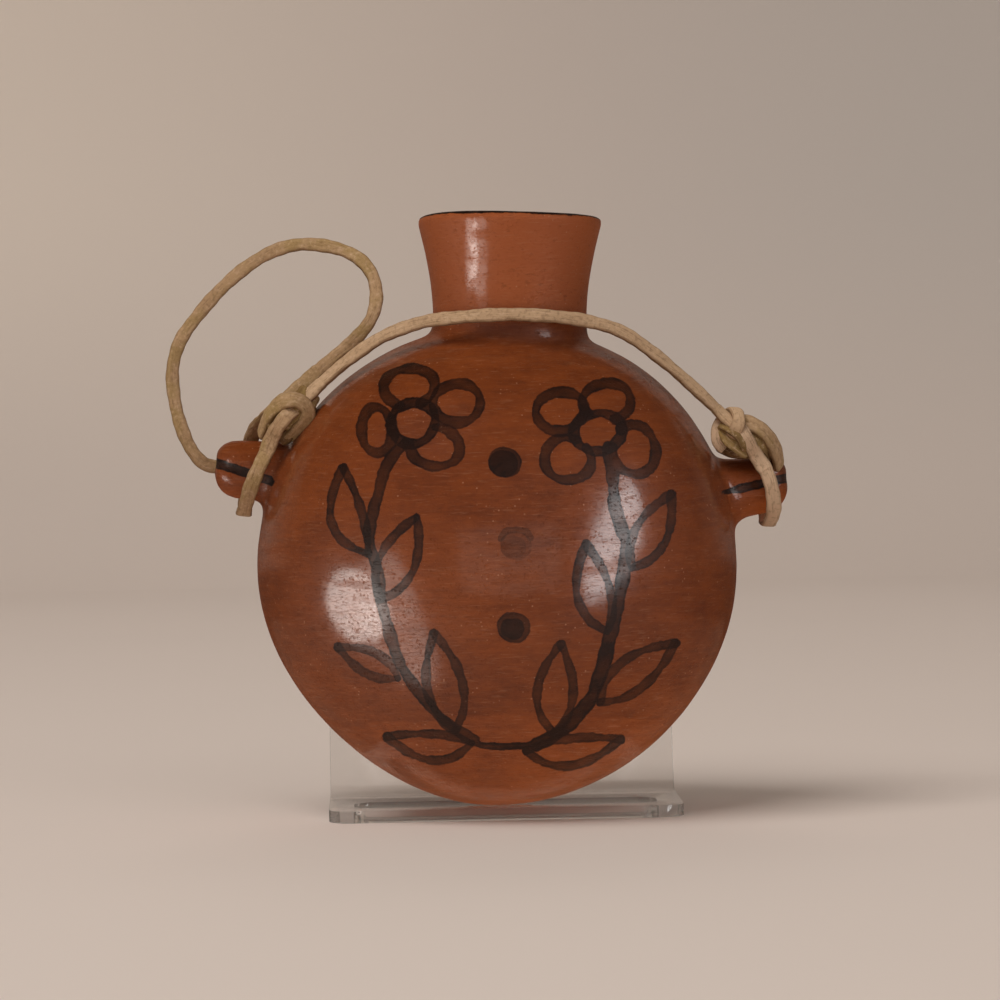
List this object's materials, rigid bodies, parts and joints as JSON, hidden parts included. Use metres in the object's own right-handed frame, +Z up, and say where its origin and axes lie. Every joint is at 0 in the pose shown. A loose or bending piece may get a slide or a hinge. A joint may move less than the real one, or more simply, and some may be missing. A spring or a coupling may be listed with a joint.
{
  "type": "pottery canteen",
  "caption": "Small round pottery canteen with a flaring neck, two side lugs and a rawhide thong, painted with a flower wreath, in a clear bent stand.",
  "frame": {"origin": "middle of the box round the canteen and its stand, on the table under the stand", "axes": "+Z up, +X to the right as the painted face is looked at, +Y from the painted face to the back"},
  "size_m": [0.1551, 0.0922, 0.1504],
  "materials": {
    "fired_clay": "burnished red-brown clay with dark brown painting, satin",
    "rawhide": "dry tan rawhide lace",
    "clear_acrylic": "clear, polished, with sawn edges"
  },
  "bodies": {
    "root": {"canteen": "fired_clay", "stand": "clear_acrylic", "thong_strap": "rawhide", "thong_tail": "rawhide", "lug_loop_left": "rawhide", "lug_loop_right": "rawhide", "knot_left": "rawhide", "knot_right": "rawhide"}
  },
  "joints": []
}
